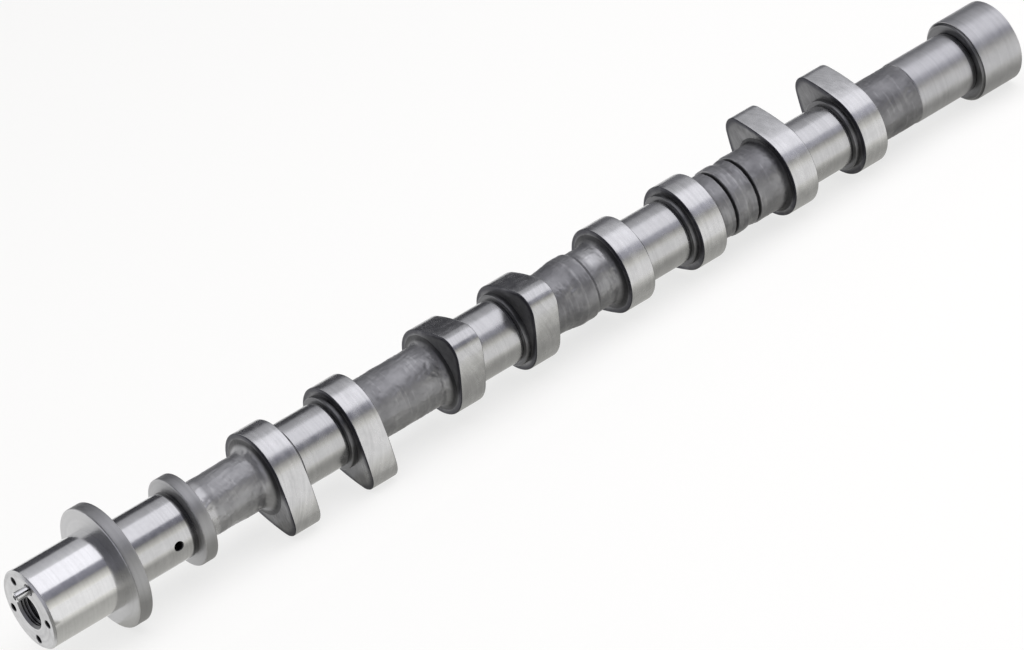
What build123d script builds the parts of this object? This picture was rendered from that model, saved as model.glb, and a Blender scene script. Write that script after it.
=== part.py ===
from build123d import *
import math
import os

# A cast iron camshaft for a four-cylinder engine with two valves per cylinder on this shaft.
# All sizes are in millimetres. Stations are measured from the front end face towards the rear.
# Angles are measured around the shaft, from +Y towards +Z, with Z up as the shaft lies at rest.
# The finished shaft is moved so that X = 0 is the flange's front thrust face.

# Cylinder spacing and cam lobes
PITCH = 88.0
PAIR_STEP = 38.3
FIRST_LOBE = 107.7
LOBE_W = 12.5
BASE_R = 18.9
LIFT_R = 27.5
TIP_R = 8.0
FLANK_R = 90.0
LOBE_EDGE = 0.5
LOBE_ANGLES = [-129.0, 141.0, -39.0, 51.0]

# Nose, thrust flange, front journal and collar
NOSE_R = 16.9
NOSE_EDGE = 0.9
FLANGE_R = 25.7
FLANGE_X = 33.3
FLANGE_W = 6.1
FLANGE_EDGE = 0.6
COLLAR_R = 18.8
COLLAR_X = 70.2
COLLAR_W = 5.6
COLLAR_EDGE = 0.5

# Bearing journals between the two lobes of a pair
JOURNAL_R = 14.0
SHOULDER_R = 15.9
SHOULDER_W = 2.4
FRONT_SHOULDER_R = 14.8
FRONT_SHOULDER_W = 1.4
RELIEF = 0.3

# Cast sections between the cylinders, as distance behind the lobe and radius
HUB_R = 18.3
HUB_SINK = 1.0
CAST_FILLET = 3.4
NECK_R = 12.0
CAST_END = PITCH - PAIR_STEP - LOBE_W
PLAIN_R = 13.2
BELLY_R = 14.3
BAND_R = 14.9
CAST_SECTIONS = [
    [(0.0, PLAIN_R), (CAST_END, PLAIN_R)],
    [(0.0, PLAIN_R), (9.5, PLAIN_R), (18.5, BELLY_R), (24.0, BELLY_R), (25.6, 13.4), (CAST_END, 13.4)],
    [(0.0, 14.4), (8.8, 14.4), (9.0, 13.6), (10.0, 13.6), (10.2, BAND_R), (15.4, BAND_R), (18.0, 14.0),
     (21.0, 14.7), (21.2, 13.7), (22.2, 13.7), (22.4, BAND_R), (CAST_END, BAND_R)],
]

# Rear end: cast neck, ground land and the end boss with its centre drilling
REAR_NECK_R = 13.5
REAR_LAND_X = 447.0
REAR_LAND_R = 13.8
BOSS_X = 477.4
BOSS_R = 18.2
BOSS_EDGE = 1.2
BOSS_UNDERCUT = 0.6
TOTAL = 499.5
CENTRE_R = 4.0
CENTRE_DEPTH = 6.0
CENTRE_PILOT_R = 1.6

# Bore, tapped holes and oil way in the nose
PILOT_R = 7.0
PILOT_DEPTH = 14.0
TAP_R = 5.1
TAP_DEPTH = 44.0
GALLERY_R = 2.6
OIL_X = 61.3
OIL_R = 1.9
OIL_ANGLE = 185.0
SCREW_CIRCLE_R = 12.7
SCREW_R = 1.65
SCREW_DEPTH = 10.0
SCREW_ANGLES = [69.0, -11.0, -91.0, 189.0]

# Slotted spring pin that sets the sprocket's angle
PIN_R = 2.0
PIN_HOLLOW_R = 1.1
PIN_CLEARANCE = 0.01
PIN_CIRCLE_R = 12.6
PIN_ANGLE = 117.0
PIN_DEPTH = 9.0
PIN_OUT = 6.2
PIN_SLIT = 0.7
PIN_SLIT_ANGLE = 150.0
PIN_EDGE = 0.35


def lobe_fronts():
    """Front face station of each of the eight lobes, in pairs."""
    return [(FIRST_LOBE + k * PITCH, FIRST_LOBE + k * PITCH + PAIR_STEP) for k in range(4)]


def front_points():
    """Profile corners of nose, flange, journal, collar and neck, as station, radius, fillet."""
    flange_end = FLANGE_X + FLANGE_W
    collar_end = COLLAR_X + COLLAR_W
    e, f, c = NOSE_EDGE, FLANGE_EDGE, COLLAR_EDGE
    return [
        (0.0, 0.0, 0), (0.0, NOSE_R - e, 0), (e, NOSE_R, 0), (FLANGE_X, NOSE_R, 0),
        (FLANGE_X, FLANGE_R - f, 0), (FLANGE_X + f, FLANGE_R, 0),
        (flange_end - f, FLANGE_R, 0), (flange_end, FLANGE_R - f, 0),
        (flange_end, JOURNAL_R, 0), (COLLAR_X, JOURNAL_R, 0),
        (COLLAR_X, COLLAR_R - c, 0), (COLLAR_X + c, COLLAR_R, 0),
        (collar_end - c, COLLAR_R, 0), (collar_end, COLLAR_R - c, 0),
        (collar_end, NECK_R, CAST_FILLET),
        (FIRST_LOBE + HUB_SINK, NECK_R, CAST_FILLET), (FIRST_LOBE + HUB_SINK, HUB_R, 0),
    ]


def relief(wall):
    """Corners of the shallow relief that ends a journal's ground surface in front of a wall."""
    return [
        (wall - 4 * RELIEF, JOURNAL_R, 0),
        (wall - 3 * RELIEF, JOURNAL_R - RELIEF, 0),
        (wall, JOURNAL_R - RELIEF, 0),
    ]


def pair_points(first, second):
    """Profile corners of the hubs of one lobe pair and the journal between them."""
    a = first + LOBE_W
    b = second
    return [
        (a - HUB_SINK, HUB_R, 0), (a - HUB_SINK, FRONT_SHOULDER_R, 0),
        (a + FRONT_SHOULDER_W, FRONT_SHOULDER_R, 0),
        (a + FRONT_SHOULDER_W, JOURNAL_R, 0), *relief(b - SHOULDER_W),
        (b - SHOULDER_W, SHOULDER_R, 0),
        (b + HUB_SINK, SHOULDER_R, 0), (b + HUB_SINK, HUB_R, 0),
        (b + LOBE_W - HUB_SINK, HUB_R, 0),
    ]


def cast_points(start, section):
    """Profile corners of a cast section that runs from one hub to the next."""
    first_r, last_r = section[0][1], section[-1][1]
    points = [(start - HUB_SINK, first_r, CAST_FILLET)]
    points += [(start + offset, radius, 0) for offset, radius in section[1:-1]]
    end = start + CAST_END + HUB_SINK
    return points + [(end, last_r, CAST_FILLET), (end, HUB_R, 0)]


def rear_points(start):
    """Profile corners of the rear neck, the ground land and the end boss."""
    e = BOSS_EDGE
    return [
        (start - HUB_SINK, REAR_NECK_R, CAST_FILLET), (REAR_LAND_X - 0.6, REAR_NECK_R, 0),
        (REAR_LAND_X, REAR_LAND_R, 0), (BOSS_X - 4 * BOSS_UNDERCUT, REAR_LAND_R, 0),
        (BOSS_X - 3 * BOSS_UNDERCUT, REAR_LAND_R - BOSS_UNDERCUT, 0),
        (BOSS_X, REAR_LAND_R - BOSS_UNDERCUT, 0),
        (BOSS_X, BOSS_R - e, 0), (BOSS_X + e, BOSS_R, 0),
        (TOTAL - e / 2, BOSS_R, 0), (TOTAL, BOSS_R - e / 2, 0), (TOTAL, 0.0, 0),
    ]


def profile_points():
    """All corners of the half profile, from the front end face to the rear end face."""
    points = front_points()
    pairs = lobe_fronts()
    for k, (first, second) in enumerate(pairs):
        points += pair_points(first, second)
        if k < len(CAST_SECTIONS):
            points += cast_points(second + LOBE_W, CAST_SECTIONS[k])
    return points + rear_points(pairs[-1][1] + LOBE_W)


def turned_core():
    """The shaft without its lobes: a half profile turned once around X."""
    points = profile_points()
    face = make_face(Polyline(*[(x, r) for x, r, f in points], close=True))
    for radius in sorted({f for x, r, f in points if f}):
        spots = [Vector(x, r, 0) for x, r, f in points if f == radius]
        corners = [v for v in face.vertices() if any((Vector(*v) - s).length < 1e-4 for s in spots)]
        face = fillet(corners, radius)
    return revolve(face, Axis.X, 360)


def polar(radius, degrees):
    """Point at a radius and angle."""
    a = math.radians(degrees)
    return (radius * math.cos(a), radius * math.sin(a))


def cam_outline():
    """Outline of a lobe with its tip on local +X: base circle, two convex flanks and a tip."""
    tip_centre = LIFT_R - TIP_R
    to_base, to_tip = FLANK_R - BASE_R, FLANK_R - TIP_R
    cos_a = (tip_centre**2 + to_base**2 - to_tip**2) / (2 * tip_centre * to_base)
    flank_angle = 180 - math.degrees(math.acos(cos_a))
    fx, fy = polar(-to_base, flank_angle)
    base = polar(BASE_R, flank_angle)
    reach = math.hypot(tip_centre - fx, -fy)
    tip = (tip_centre + TIP_R * (tip_centre - fx) / reach, TIP_R * -fy / reach)
    half = (math.atan2(base[1] - fy, base[0] - fx) + math.atan2(tip[1] - fy, tip[0] - fx)) / 2
    flank = (fx + FLANK_R * math.cos(half), fy + FLANK_R * math.sin(half))

    def mirror_y(p):
        return (p[0], -p[1])

    arcs = [
        ThreePointArc(base, (-BASE_R, 0), mirror_y(base)),
        ThreePointArc(mirror_y(base), mirror_y(flank), mirror_y(tip)),
        ThreePointArc(mirror_y(tip), (LIFT_R, 0), tip),
        ThreePointArc(tip, flank, base),
    ]
    return make_face(Wire(arcs))


def across(station, degrees=0.0):
    """Plane across the shaft, with local X turned from +Y by the given angle."""
    y, z = polar(1.0, degrees)
    return Plane(origin=(station, 0, 0), x_dir=(0, y, z), z_dir=(1, 0, 0))


def lobe(station, degrees):
    """One cam lobe with broken edges."""
    body = extrude(across(station, degrees) * cam_outline(), LOBE_W)
    rims = [e for e in body.edges() if abs(e.bounding_box().size.X) < 1e-6]
    return chamfer(rims, LOBE_EDGE)


def rod(station, radius, length, away=0.0, degrees=0.0):
    """Round rod along +X from a station, off the shaft's centre line by a distance at an angle."""
    y, z = polar(away, degrees)
    plane = Plane(origin=(station, y, z), x_dir=(0, 1, 0), z_dir=(1, 0, 0))
    return extrude(plane * Circle(radius), length)


def drill_tip(station, radius, depth):
    """Cone at the bottom of a drilling on the shaft's centre line."""
    plane = Plane(origin=(station + depth / 2, 0, 0), x_dir=(0, 1, 0), z_dir=(1, 0, 0))
    return plane * Cone(radius, 0, depth)


def nose_holes():
    """Pilot bore, tapped bore, oil gallery, four tapped holes and the pin's hole."""
    cuts = [
        rod(0, PILOT_R, PILOT_DEPTH), rod(0, TAP_R, TAP_DEPTH),
        rod(0, GALLERY_R, OIL_X + OIL_R), drill_tip(OIL_X + OIL_R, GALLERY_R, GALLERY_R / 2),
        rod(0, PIN_R + PIN_CLEARANCE, PIN_DEPTH, PIN_CIRCLE_R, PIN_ANGLE),
    ]
    for angle in SCREW_ANGLES:
        cuts.append(rod(0, SCREW_R, SCREW_DEPTH, SCREW_CIRCLE_R, angle))
    return cuts


def oil_hole():
    """Radial drilling from the front journal into the gallery."""
    y, z = polar(1.0, OIL_ANGLE)
    plane = Plane(origin=(OIL_X, 0, 0), x_dir=(1, 0, 0), z_dir=(0, y, z))
    return extrude(plane * Circle(OIL_R), FLANGE_R)


def centre_drilling():
    """Centre drilling in the rear end face, on which the shaft was turned and ground."""
    mouth_depth = CENTRE_R - CENTRE_PILOT_R
    plane = Plane(origin=(TOTAL - mouth_depth / 2, 0, 0), x_dir=(0, 1, 0), z_dir=(1, 0, 0))
    mouth = plane * Cone(CENTRE_PILOT_R, CENTRE_R, mouth_depth)
    return [mouth, rod(TOTAL - CENTRE_DEPTH, CENTRE_PILOT_R, CENTRE_DEPTH)]


def camshaft():
    """The whole casting: core, lobes and drillings."""
    lobes = []
    for (first, second), angle in zip(lobe_fronts(), LOBE_ANGLES):
        lobes += [lobe(first, angle), lobe(second, angle)]
    body = turned_core().fuse(*lobes)
    for cut in nose_holes() + [oil_hole()] + centre_drilling():
        body = body.cut(cut)
    return body


def dowel_pin():
    """Slotted spring pin standing out of the front end face."""
    outer = rod(-PIN_OUT, PIN_R, PIN_OUT + PIN_DEPTH, PIN_CIRCLE_R, PIN_ANGLE)
    ends = [e for e in outer.edges() if abs(e.bounding_box().size.X) < 1e-6]
    pin = chamfer(ends, PIN_EDGE)
    pin = pin.cut(rod(-2 * PIN_OUT, PIN_HOLLOW_R, 3 * (PIN_OUT + PIN_DEPTH), PIN_CIRCLE_R, PIN_ANGLE))
    y, z = polar(PIN_CIRCLE_R, PIN_ANGLE)
    dy, dz = polar(1.0, PIN_SLIT_ANGLE)
    plane = Plane(origin=(-2 * PIN_OUT, y + PIN_R * dy, z + PIN_R * dz), x_dir=(0, dy, dz), z_dir=(1, 0, 0))
    return pin.cut(extrude(plane * Rectangle(2 * PIN_R, PIN_SLIT), 3 * (PIN_OUT + PIN_DEPTH)))


os.makedirs("parts", exist_ok=True)
for name, shape in {"camshaft": camshaft(), "dowel_pin": dowel_pin()}.items():
    solids = shape.solids()
    print(name, len(solids), "solid", round(sum(s.volume for s in solids)), "mm3")
    export_step(solids[0].moved(Location((-FLANGE_X, 0, 0))), f"parts/{name}.step")
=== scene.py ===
# %% [markdown]
# # A cast camshaft, ground and turned
# The shaft is one iron casting half a metre long. Its bearings and cams are ground bright, a few
# faces are turned, and everything between them keeps the skin of the sand mould. This file builds
# a finely curved body over the plain solid, gives each finish its material, and lights it softly.
# Each step says what a piece is on the real shaft, how it could be made, and why this way is used.

import math

import bmesh
import bpy
import numpy as np
from mathutils import Matrix, Vector


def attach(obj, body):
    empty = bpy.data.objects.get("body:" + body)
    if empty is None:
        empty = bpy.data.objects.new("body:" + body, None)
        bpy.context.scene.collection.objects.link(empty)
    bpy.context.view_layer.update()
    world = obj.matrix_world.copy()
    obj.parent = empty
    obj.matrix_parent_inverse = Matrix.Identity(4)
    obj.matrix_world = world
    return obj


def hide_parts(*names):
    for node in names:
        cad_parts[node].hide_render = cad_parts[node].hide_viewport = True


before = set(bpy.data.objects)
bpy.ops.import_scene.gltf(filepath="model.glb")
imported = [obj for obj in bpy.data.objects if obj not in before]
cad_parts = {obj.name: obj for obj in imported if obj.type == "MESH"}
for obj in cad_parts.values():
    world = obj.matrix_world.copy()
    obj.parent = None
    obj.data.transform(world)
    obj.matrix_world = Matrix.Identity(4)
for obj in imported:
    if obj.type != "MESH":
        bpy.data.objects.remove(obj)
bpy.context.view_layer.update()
MM = 0.001

# %% [markdown]
# ## Sizes
# The shaft lies along X with the flange's front face at zero, so the nose reaches to the negative
# side. Sizes are in millimetres, as on a drawing, and become metres when a mesh is made. Angles
# run around the shaft from +Y towards +Z. The cams come in pairs, one pair for each cylinder, so
# four numbers place all eight. Discs and cams start at a radius inside the shaft, where nobody
# sees them, and a profile that meets the axis stops at a tiny radius, the pole.

# %% Sizes
NOSE_FRONT = -33.3
NOSE_R, NOSE_EDGE = 16.9, 0.9
FLANGE_R, FLANGE_W = 25.7, 6.1
COLLAR_X, COLLAR_R, COLLAR_W = 36.9, 18.8, 5.6
COLLAR_END = COLLAR_X + COLLAR_W
JOURNAL_R, RELIEF = 14.0, 0.3
RELIEF_R = JOURNAL_R - RELIEF
SHOULDER_R, SHOULDER_W = 15.9, 2.4
FRONT_SHOULDER_R, FRONT_SHOULDER_W = 14.8, 1.4

PITCH, PAIR_STEP, FIRST_LOBE, LOBE_W = 88.0, 38.3, 74.4, 12.5
BASE_R, LIFT_R, TIP_R, FLANK_R, LOBE_EDGE = 18.9, 27.5, 8.0, 90.0, 0.5
LOBE_ANGLES = [-129.0, 141.0, -39.0, 51.0]

CAST_FILLET, FILLET_TOP, NECK_R = 3.4, 16.6, 12.0
REAR_NECK_R, REAR_LAND_X, REAR_LAND_R = 13.5, 413.7, 13.8
BOSS_X, BOSS_R, BOSS_EDGE, BOSS_UNDERCUT, SHAFT_END = 444.1, 18.2, 1.2, 0.6, 466.2
INNER_R, FLANGE_INNER_R, POLE_R = 11.0, 12.0, 0.05

pairs = [(FIRST_LOBE + k * PITCH, FIRST_LOBE + k * PITCH + PAIR_STEP) for k in range(4)]
print("lobe faces at", [round(x, 1) for pair in pairs for x in pair])

# %% [markdown]
# ## From a grid of points to a mesh
# Nearly every surface here is a sheet of points: one direction runs along the shaft, the other
# around it. Blender can spin a curve or extrude a face, but a numpy grid gives the same shape in
# one step, lets noise push every point, and says exactly how fine it is. The last point of each
# ring joins the first, so there is no seam. Flat faces that nobody sees shut every piece, so that
# each one is a solid of its own.

# %% Grid to mesh
def put_mesh(name, points, quads, ends, attributes=None):
    """New object from points in millimetres, smooth quads, flat end faces and point values."""
    mesh = bpy.data.meshes.new(name)
    mesh.from_pydata((points * MM).tolist(), [], quads + ends)
    for key, values in (attributes or {}).items():
        stored_values = mesh.attributes.new(key, "FLOAT", "POINT").data
        stored_values.foreach_set("value", values.astype(np.float32))
    mesh.update()
    mesh.polygons.foreach_set("use_smooth", [True] * len(quads) + [False] * len(ends))
    obj = bpy.data.objects.new(name, mesh)
    bpy.context.scene.collection.objects.link(obj)
    return obj


def grid_faces(rings, around, first=0):
    """Quads between neighbouring rings: point (i, j), (i, j+1), (i+1, j+1), (i+1, j)."""
    i, j = np.arange(rings - 1)[:, None], np.arange(around)[None, :]
    k = (j + 1) % around
    corners = [i * around + j, i * around + k, (i + 1) * around + k, (i + 1) * around + j]
    return (np.stack(corners, -1).reshape(-1, 4) + first).tolist()


def end_faces(rings, around, first=0, hollow=False):
    """What shuts a grid: a wall from last ring to first in a hollow piece, else a cap on each."""
    front = np.arange(around) + first
    rear = front + (rings - 1) * around
    if hollow:
        return np.stack([rear, np.roll(rear, -1), np.roll(front, -1), front], -1).tolist()
    return [front[::-1].tolist(), rear.tolist()]


def carried(obj):
    """The piece moves with the shaft's body and stands for the plain solid."""
    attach(obj, "root")
    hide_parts("camshaft")
    print(obj.name, len(obj.data.polygons), "faces")
    return obj


# %% [markdown]
# ## Profiles
# A lathe operator thinks in a half profile, and so does this step. A profile is a few corners,
# each with the radius of the arc that rounds it. Even a sharp looking corner on real metal has a
# tiny round that catches the light, so a corner that shows has one here. Long runs are divided so
# that the skin of the casting can be pushed in and out between the corners.

# %% Rounded profile
NEARLY_STRAIGHT = 1.56


def arc_at(before, corner, after, radius, steps):
    """Arc that touches both legs of a corner: its centre lies on the corner's bisector.

    A corner with no rounding stays, and so does one whose half angle is almost a quarter turn.
    """
    a, b = before - corner, after - corner
    a, b = a / np.linalg.norm(a), b / np.linalg.norm(b)
    half = math.acos(np.clip(a @ b, -1, 1)) / 2
    if radius <= 0 or half > NEARLY_STRAIGHT:
        return corner[None]
    centre = corner + (a + b) / np.linalg.norm(a + b) * radius / math.sin(half)
    start, end = corner + a * radius / math.tan(half), corner + b * radius / math.tan(half)
    s = np.linspace(0, 1, steps)[:, None]
    spread = math.pi - 2 * half
    u = np.sin((1 - s) * spread) * (start - centre) + np.sin(s * spread) * (end - centre)
    return centre + u / math.sin(spread)


def profile(corners, step=4.0, steps=5):
    """Points (x, r) along corners (x, r, rounding), with no run longer than the step."""
    p = np.array([c[:2] for c in corners], float)
    bends = [arc_at(p[k - 1], p[k], p[k + 1], corners[k][2], steps) for k in range(1, len(p) - 1)]
    line = np.concatenate([p[:1], *bends, p[-1:]])
    gaps = np.linalg.norm(np.diff(line, axis=0), axis=1)
    parts = np.maximum(1, np.ceil(gaps / step)).astype(int)
    runs = [np.linspace(line[k], line[k + 1], n + 1)[:-1] for k, n in enumerate(parts)]
    return np.concatenate([*runs, line[-1:]])


flange_profile = [(0, FLANGE_INNER_R, 0), (0, FLANGE_R, 0.6), (FLANGE_W, FLANGE_R, 0.6),
                  (FLANGE_W, FLANGE_INNER_R, 0)]
print("points on the flange's profile", len(profile(flange_profile)))

# %% [markdown]
# ## From a profile to a turned piece
# Turning a profile is a grid again: each of its points goes round the axis. Each point also keeps
# its distance from the nearest outer corner, because that is where a real edge wears bright. A
# material can't measure that for itself, but it can read a value that was stored on the points.

# %% Turned piece
FAR_AWAY = [1e3, 1e3]


def turned_grid(line, around, push=None):
    """Profile turned around X: y = r cos t, z = r sin t, with r pushed by a field of the point."""
    t = np.linspace(0, 2 * np.pi, around, endpoint=False)[None, :]
    x, r = line[:, :1] + 0 * t, line[:, 1:] + 0 * t
    points = np.stack([x, r * np.cos(t), r * np.sin(t)], -1)
    if push is not None:
        amount = push(points)[..., None]
        points = points + amount * np.stack([0 * x, np.cos(t) + 0 * x, np.sin(t) + 0 * x], -1)
    return points


def corner_gap(line, corners):
    """Distance of each profile point from the nearest outer corner, where it turns to the right."""
    p = np.array([c[:2] for c in corners], float)
    legs = np.diff(p, axis=0)
    right = legs[:-1, 0] * legs[1:, 1] - legs[:-1, 1] * legs[1:, 0] < -1e-6
    spots = np.concatenate([p[1:-1][right], [FAR_AWAY]])
    return np.linalg.norm(line[:, None] - spots[None], axis=2).min(1)


def turned(name, profiles, around=240, push=None, step=4.0, steps=5, hollow=False):
    """One object from several half profiles turned around the shaft's axis, each a closed solid."""
    points, quads, ends, gaps, first = [], [], [], [], 0
    for corners in profiles:
        line = profile(corners, step, steps)
        grid = turned_grid(line, around, push)
        quads += grid_faces(len(line), around, first)
        ends += end_faces(len(line), around, first, hollow)
        gaps.append(np.repeat(corner_gap(line, corners), around))
        points.append(grid.reshape(-1, 3))
        first += len(line) * around
    return put_mesh(name, np.concatenate(points), quads, ends, {"edge_gap": np.concatenate(gaps)})


print("outer corners start at", corner_gap(profile(flange_profile), flange_profile).min().round(2))

# %% [markdown]
# ## The skin of the mould
# Sand leaves a skin of shallow waves and fine grains. A texture could fake it, but a casting's
# outline is uneven too, so the points themselves are pushed. The field is a sum of cosine waves in
# space with seeded random directions: long waves for the uneven mould, short ones for the sand.
# Because it lives in space and not on a surface, neighbouring pieces meet without a jump.

# %% Skin field
WAVE_DEPTH, GRAIN_DEPTH, PIT_DEPTH, PIT_LEVEL = 0.10, 0.055, 0.12, 1.2


def wave_field(points, count, longest, shortest, seed):
    """Sum of cosines cos(w . p + phase), with wavelengths from the longest to the shortest."""
    random = np.random.default_rng(seed)
    lengths = np.geomspace(longest, shortest, count)
    w = random.normal(size=(count, 3))
    w *= (2 * np.pi / lengths / np.linalg.norm(w, axis=1))[:, None]
    phase = random.uniform(0, 2 * np.pi, count)
    flat = points.reshape(-1, 3) @ w.T + phase
    return np.cos(flat).sum(1).reshape(points.shape[:-1]) / math.sqrt(count)


def skin(points):
    """Push of the cast skin in millimetres: mould waves, sand grains, and pits in deep grains."""
    waves = wave_field(points, 24, 26.0, 6.0, 3)
    grains = wave_field(points, 48, 3.6, 1.1, 7)
    pits = np.clip(-grains - PIT_LEVEL, 0, 1)
    return WAVE_DEPTH * waves + GRAIN_DEPTH * grains - PIT_DEPTH * pits


sample = skin(np.random.default_rng(1).uniform(0, 60, (4000, 3)))
print("skin from %.2f to %.2f mm" % (sample.min(), sample.max()))

# %% [markdown]
# ## Cast sections
# Between the cylinders the shaft keeps its cast form: a plain neck behind the collar, a plain
# tube, a tube with a belly, and one with raised bands and two fine grooves. Each meets the cams in
# a generous fillet, because a sharp corner would crack. They are turned profiles with the skin
# field pushing every point. Each reaches a little into its neighbours, so that no gap shows.

# %% Cast sections
OVERLAP, HAIR = 0.4, 0.01
PLAIN_R, BELLY_R, BELLY_END_R = 13.2, 14.3, 13.4
BAND_R, BAND_START_R, GROOVE_W = 14.9, 14.4, 1.0
GROOVES = [9.0, 21.2]
CAST_AROUND, CAST_STEP, CAST_ARC_STEPS = 192, 0.55, 9


def cast_run(start, end, section, front_fillet=None):
    """Cast section between two faces; at each end a fillet rises until it lies in the face."""
    first, last = section[0][1], section[-1][1]
    low = front_fillet or FILLET_TOP - first
    high = FILLET_TOP - last
    inner = [(start + x, r, f) for x, r, f in section[1:-1]]
    return [(start - OVERLAP, first + low + 2 * HAIR, 0), (start, first + low + HAIR, 0),
            (start, first, low), *inner, (end, last, high),
            (end, last + high + HAIR, 0), (end + OVERLAP, last + high + 2 * HAIR, 0)]


plain = [(0, PLAIN_R, 0), (0, PLAIN_R, 0)]
neck = [(0, NECK_R, 0), (0, NECK_R, 0)]
belly = [(0, PLAIN_R, 0), (9.5, PLAIN_R, 5), (18.5, BELLY_R, 5), (24.0, BELLY_R, 1.2),
         (25.6, BELLY_END_R, 0.8), (0, BELLY_END_R, 0)]
banded = [(0, BAND_START_R, 0), (8.8, BAND_START_R, 0.3),
          (GROOVES[0], 13.4, 0.2), (GROOVES[0] + GROOVE_W, 13.4, 0.2),
          (10.2, BAND_R, 0.6), (15.4, BAND_R, 2), (18.0, 14.0, 3), (21.0, 14.7, 0.6),
          (GROOVES[1], 13.5, 0.2), (GROOVES[1] + GROOVE_W, 13.5, 0.2),
          (22.4, BAND_R, 0.4), (0, BAND_R, 0)]
gaps_between = [(pairs[k][1] + LOBE_W, pairs[k + 1][0]) for k in range(3)]
rear_start = pairs[3][1] + LOBE_W
rear_neck = [(rear_start - OVERLAP, FILLET_TOP + 2 * HAIR, 0), (rear_start, FILLET_TOP + HAIR, 0),
             (rear_start, REAR_NECK_R, FILLET_TOP - REAR_NECK_R),
             (REAR_LAND_X - 0.1, REAR_NECK_R, 0), (REAR_LAND_X + 0.3, REAR_NECK_R - 0.3, 0)]
cast_profiles = [cast_run(COLLAR_END, FIRST_LOBE, neck, CAST_FILLET)]
cast_profiles += [cast_run(a, b, s) for (a, b), s in zip(gaps_between, [plain, belly, banded])]
cast_profiles.append(rear_neck)
cast_sections = carried(turned("cast_sections", cast_profiles, CAST_AROUND, skin, CAST_STEP,
                               CAST_ARC_STEPS))

# %% [markdown]
# ## Bare places, painted highlight and painted shade
# A casting isn't one even grey. A tool has skimmed a ring behind the collar, and handling has
# rubbed some of the skin thin. A bare patch on top of the belly section's rear end is partly a
# painted highlight. The black in the grooves and where a fillet meets a cam is painted shade, the
# rear neck is darker, and so is one side of the belly section's front. Paint would need an image,
# so each of these is a rule of station, radius and angle instead, and its result is stored on the
# points for the material to read.

# %% Stored wear, painted highlight and painted shade
def store(obj, key, rule):
    """Named value per point, from the points' stations, radii and angles around the shaft."""
    spots = np.empty(len(obj.data.vertices) * 3, np.float32)
    obj.data.vertices.foreach_get("co", spots)
    x, y, z = spots.reshape(-1, 3).T / MM
    values = rule(x, np.hypot(y, z), np.degrees(np.arctan2(z, y)) % 360).astype(np.float32)
    obj.data.attributes.new(key, "FLOAT", "POINT").data.foreach_set("value", values)


def within(value, start, end, fade):
    """One between two values, with a straight fade outside them."""
    return np.clip(1 - np.maximum(start - value, value - end) / fade, 0, 1)


SKIMMED_W, HIGHLIGHT_W = 5.2, 7.0
highlight_x = gaps_between[1][1] - 9.0
lobe_faces = [x for pair in pairs for x in pair] + [x + LOBE_W for pair in pairs for x in pair]


def bare_iron_and_painted_highlight(x, r, t):
    """Skimmed ring behind the collar, thinner skin, and a top patch that is partly a painted
    highlight.
    """
    # Bare colour on the top only is a painted highlight; the material also makes it glossier.
    painted_highlight_on = within(x, highlight_x, highlight_x + HIGHLIGHT_W, 1.5) * within(t, 100, 130, 14)
    return np.maximum.reduce([0.7 * within(x, COLLAR_END, COLLAR_END + SKIMMED_W, 2.2),
                              0.25 * within(x, COLLAR_END, FIRST_LOBE, 1.0),
                              0.12 * within(x, *gaps_between[0], 1.0), 0.5 * painted_highlight_on])


def scale_and_painted_shade(x, r, t):
    """Painted shade in the grooves and where a fillet meets a cam; darker rear neck and belly side.
    """
    near = np.abs(x[:, None] - np.array(lobe_faces)).min(1)
    # Painted shade where a fillet rises to a cam's face.
    fillet_shade = np.clip((r - 13.4) / 1.4, 0, 1) * np.clip((3.4 - near) / 2.2, 0, 1)
    starts = [gaps_between[2][0] + s for s in GROOVES]
    # Painted shade in the two fine grooves.
    grooves = [within(x, s, s + GROOVE_W, 0.15) for s in starts]
    front = gaps_between[1][0]
    # Darker rear neck, and a darker patch between 155 and 215 degrees on the belly section's front.
    scale = [0.16 * within(x, rear_start, REAR_LAND_X, 1.0),
             0.20 * within(x, front, front + 12, 4.0) * within(t, 155, 215, 15)]
    return np.maximum.reduce([0.9 * fillet_shade, *grooves, *scale])


store(cast_sections, "bare_and_highlight", bare_iron_and_painted_highlight)
store(cast_sections, "scale_and_painted_shade", scale_and_painted_shade)
print("skimmed from", round(COLLAR_END, 1), "and rubbed skin from", round(highlight_x, 1))

# %% [markdown]
# ## Journals and the rear land
# The bearings run on ground cylinders. A grinding wheel can't reach into a corner, so a narrow
# relief is turned at each end, and it shows as a thin dark line. The rear land and the rim of the
# boss are ground as well. All are turned profiles with no skin pushing them, because a ground
# cylinder is true to a hair.

# %% Journals and rear land
def journal_run(front, rear):
    """Ground cylinder between two reliefs."""
    return [(front, RELIEF_R, 0), (front + 3 * RELIEF, RELIEF_R, 0.1),
            (front + 4 * RELIEF, JOURNAL_R, 0.15), (rear - 4 * RELIEF, JOURNAL_R, 0.15),
            (rear - 3 * RELIEF, RELIEF_R, 0.1), (rear, RELIEF_R, 0)]


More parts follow.
